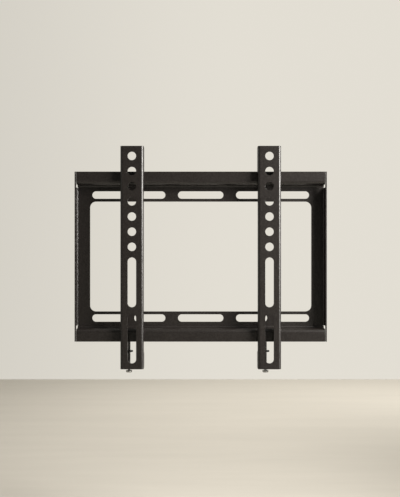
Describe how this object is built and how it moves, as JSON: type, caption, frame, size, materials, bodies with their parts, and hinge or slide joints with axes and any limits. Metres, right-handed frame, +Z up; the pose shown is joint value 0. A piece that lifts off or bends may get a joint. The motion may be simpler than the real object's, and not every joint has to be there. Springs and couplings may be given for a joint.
{
  "type": "fixed tv wall mount",
  "caption": "Flat wall mount for a screen: folded steel wall plate with slotted rails, and hook-on channel arms that slide along its lips, each locked by a safety screw.",
  "frame": {"origin": "middle of the wall face, at the centre of the wall bolt slots", "axes": "+X along the plate's width, +Y into the wall, +Z up"},
  "size_m": [0.2514, 0.02, 0.2255],
  "materials": {
    "black_powder_coat": "satin black powder coat with a fine grain",
    "zinc_plated_steel": "dulled zinc plating"
  },
  "bodies": {
    "wall_plate": {"wall_plate": "black_powder_coat"},
    "left_arm": {"left_arm": "black_powder_coat"},
    "right_arm": {"right_arm": "black_powder_coat"},
    "left_safety_screw": {"left_safety_screw": "zinc_plated_steel"},
    "right_safety_screw": {"right_safety_screw": "zinc_plated_steel"}
  },
  "joints": [
    {"name": "left_arm_slide", "type": "slide", "parent": "wall_plate", "child": "left_arm", "axis": [1, 0, 0], "range_m": [-0.044, 0.055]},
    {"name": "right_arm_slide", "type": "slide", "parent": "wall_plate", "child": "right_arm", "axis": [1, 0, 0], "range_m": [-0.055, 0.044]},
    {"name": "left_screw_travel", "type": "slide", "parent": "left_arm", "child": "left_safety_screw", "axis": [0, 0, 1], "range_m": [-0.012, 0.004]},
    {"name": "right_screw_travel", "type": "slide", "parent": "right_arm", "child": "right_safety_screw", "axis": [0, 0, 1], "range_m": [-0.012, 0.004]}
  ]
}
